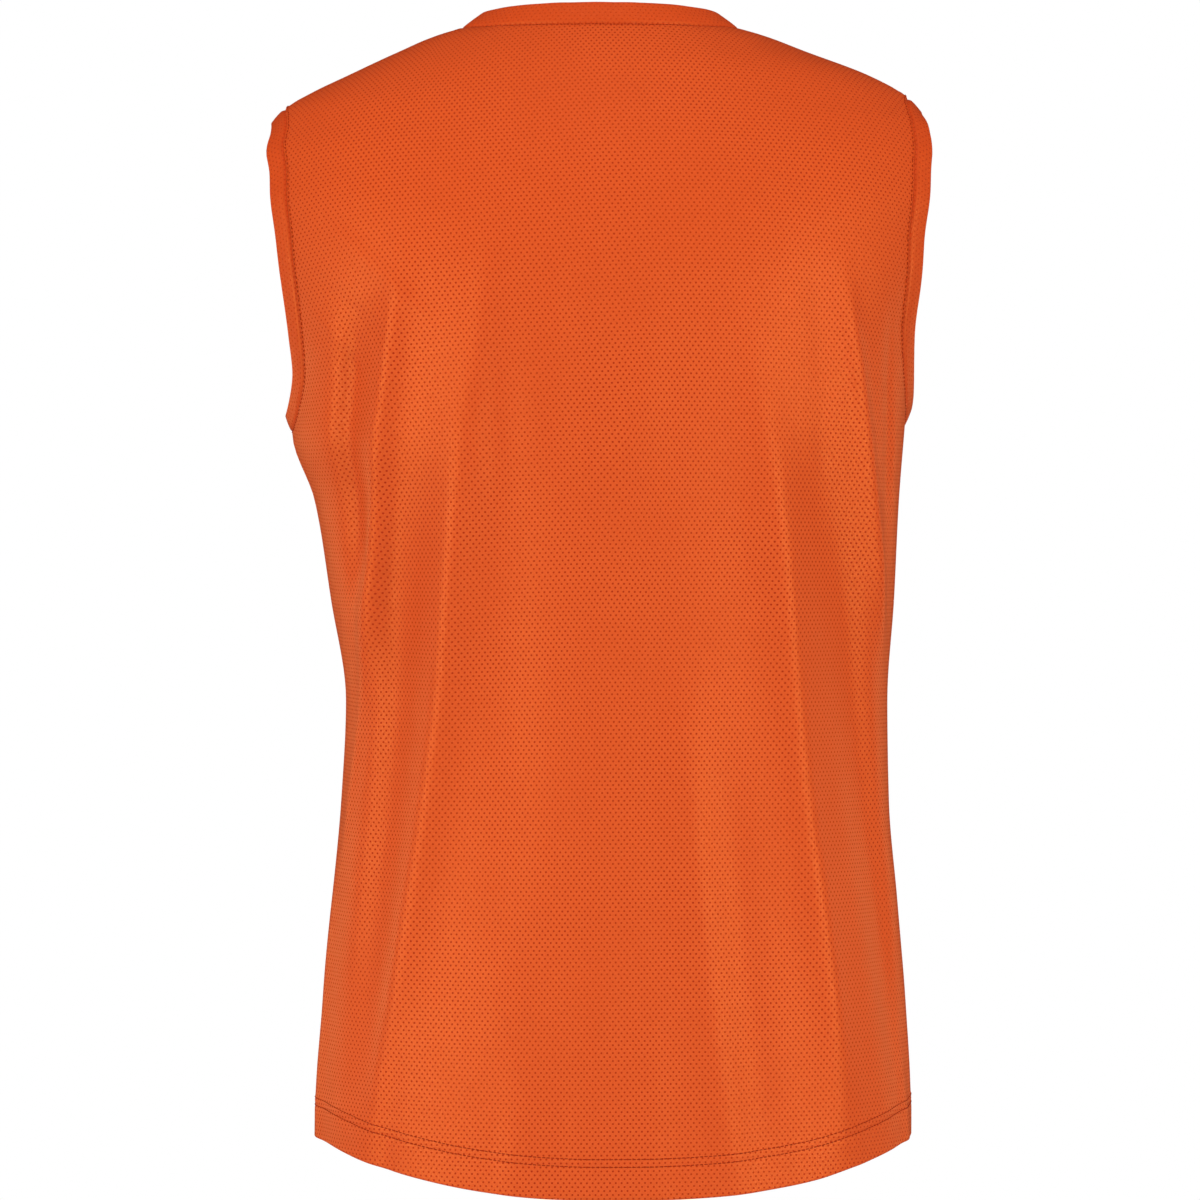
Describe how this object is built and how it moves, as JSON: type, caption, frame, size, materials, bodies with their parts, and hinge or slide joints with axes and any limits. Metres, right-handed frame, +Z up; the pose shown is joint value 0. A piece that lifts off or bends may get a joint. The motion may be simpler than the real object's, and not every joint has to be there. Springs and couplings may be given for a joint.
{
  "type": "sleeveless sports top",
  "caption": "Sleeveless crew-neck sports top in eyelet mesh, filled out as if worn, hollow, with doubled bands at the neck and armholes and a curved turned-up hem.",
  "frame": {"origin": "on the wearer's centre plane at the level of the neck points of the shoulders, where the garment hangs on its wearer", "axes": "+Z up, the wearer faces -Y, and +X is the wearer's left"},
  "size_m": [0.3966, 0.246, 0.6983],
  "materials": {
    "mesh_cloth": "matt polyester knit with staggered 1 mm eyelets",
    "band_cloth": "matt polyester knit, doubled"
  },
  "bodies": {
    "root": {"back_panel": "mesh_cloth", "front_panel": "mesh_cloth", "neck_band": "band_cloth", "armhole_band_left": "band_cloth", "armhole_band_right": "band_cloth"}
  },
  "joints": []
}
